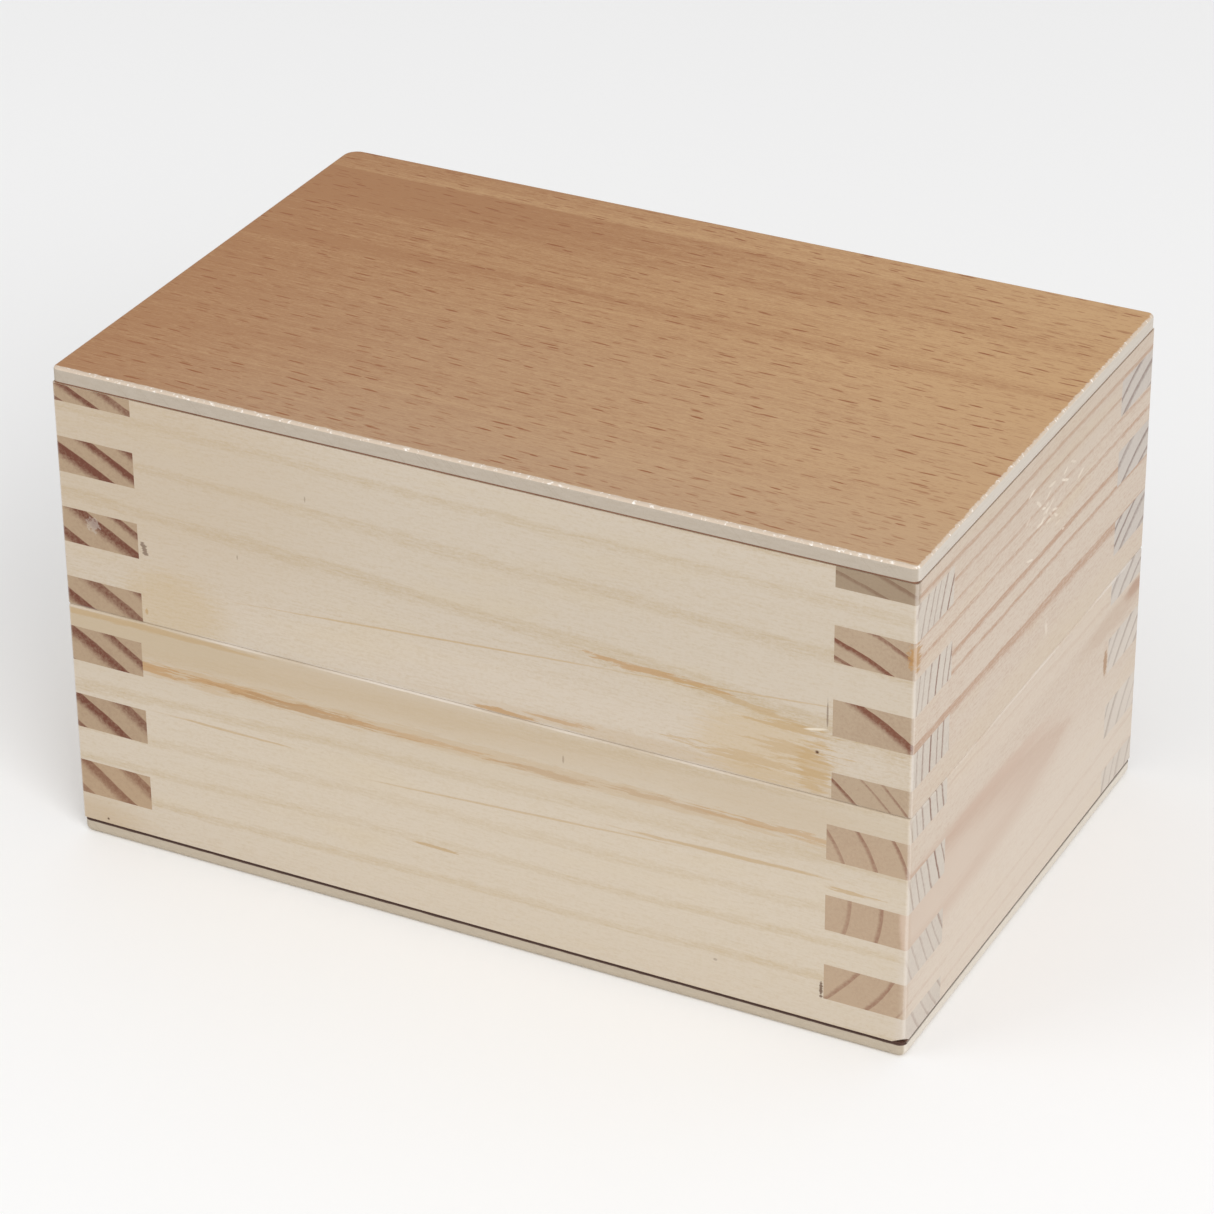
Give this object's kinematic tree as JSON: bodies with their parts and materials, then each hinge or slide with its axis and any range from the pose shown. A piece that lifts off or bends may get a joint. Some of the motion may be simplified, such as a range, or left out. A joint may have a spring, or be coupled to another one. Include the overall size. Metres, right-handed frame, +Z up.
{
  "type": "hinged wooden box",
  "caption": "Small finger-jointed softwood box sawn in half across its height, with a beech-veneered plywood lid that swings back on two brass butt hinges.",
  "frame": {"origin": "centre of the box's underside, hinges left out", "axes": "+X to the right and +Z up as seen from the front; the front faces -Y and the hinges are on the back, at +Y"},
  "size_m": [0.141, 0.0931, 0.0815],
  "materials": {
    "pine": "sanded, unfinished",
    "poplar_core": "sanded plywood edge",
    "beech_veneer": "sanded, unfinished",
    "inner_veneer": "dark reddish back veneer",
    "brass": "plain brass-plated steel, lightly dulled"
  },
  "bodies": {
    "base": {"base_front_board": "pine", "base_back_board": "pine", "base_left_board": "pine", "base_right_board": "pine", "base_panel_outer_veneer": "beech_veneer", "base_panel_core": "poplar_core", "base_panel_inner_veneer": "inner_veneer", "left_hinge_base_leaf": "brass", "left_hinge_pin": "brass", "left_hinge_base_screws": "brass", "right_hinge_base_leaf": "brass", "right_hinge_pin": "brass", "right_hinge_base_screws": "brass"},
    "lid": {"lid_front_board": "pine", "lid_back_board": "pine", "lid_left_board": "pine", "lid_right_board": "pine", "lid_panel_inner_veneer": "inner_veneer", "lid_panel_core": "poplar_core", "lid_panel_face_veneer": "beech_veneer", "left_hinge_lid_leaf": "brass", "left_hinge_lid_screws": "brass", "right_hinge_lid_leaf": "brass", "right_hinge_lid_screws": "brass"}
  },
  "joints": [
    {"name": "lid_hinge", "type": "hinge", "parent": "base", "child": "lid", "pos_m": [0, 0.0466, 0.041], "axis": [-1, 0, 0], "range_deg": [0, 180]}
  ]
}
